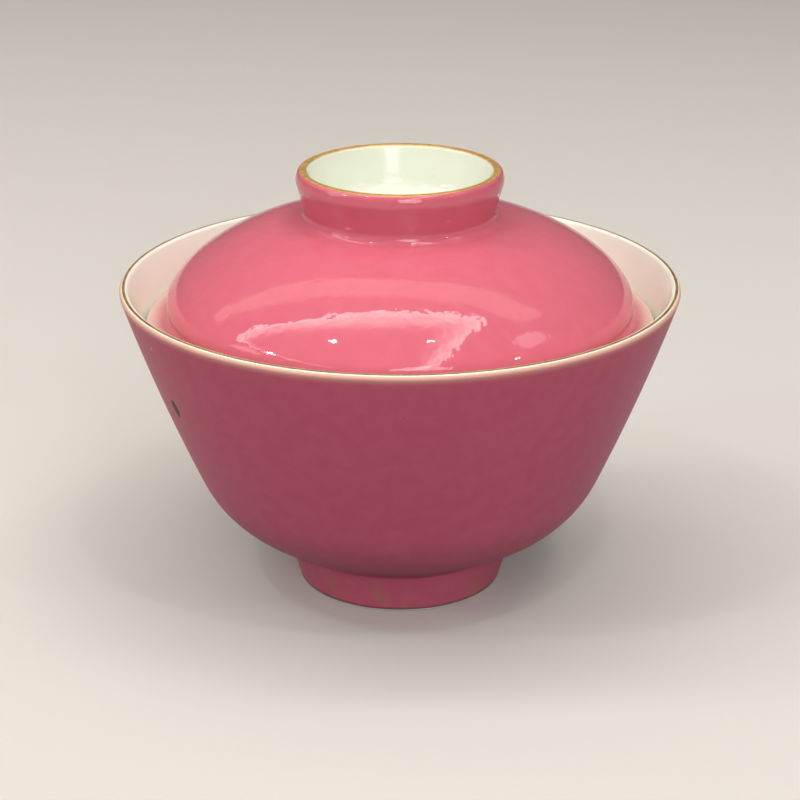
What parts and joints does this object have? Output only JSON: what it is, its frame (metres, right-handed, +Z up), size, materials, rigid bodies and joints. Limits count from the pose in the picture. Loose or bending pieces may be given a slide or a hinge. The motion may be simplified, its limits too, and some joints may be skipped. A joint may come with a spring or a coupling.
{
  "type": "covered rice bowl",
  "caption": "Cone-sided porcelain rice bowl on a foot ring, with a domed lid that drops inside its lip and lifts off by a ring knob.",
  "frame": {"origin": "centre of the foot's resting edge, on the surface that the bowl stands on", "axes": "+Z up along the axis that bowl and lid are turned about; the bowl is the same all round"},
  "size_m": [0.1122, 0.1122, 0.087],
  "materials": {
    "porcelain": "gloss",
    "bowl_enamel": "satin",
    "lid_enamel": "gloss",
    "gilding": "satin"
  },
  "bodies": {
    "bowl": {"bowl_porcelain": "porcelain", "bowl_enamel": "bowl_enamel", "bowl_rim_gilding": "gilding"},
    "lid": {"lid_porcelain": "porcelain", "lid_enamel": "lid_enamel", "lid_knob_gilding": "gilding"}
  },
  "joints": [
    {"name": "lid_lift", "type": "slide", "parent": "bowl", "child": "lid", "axis": [0, 0, 1], "range_m": [0, 0.08]}
  ]
}
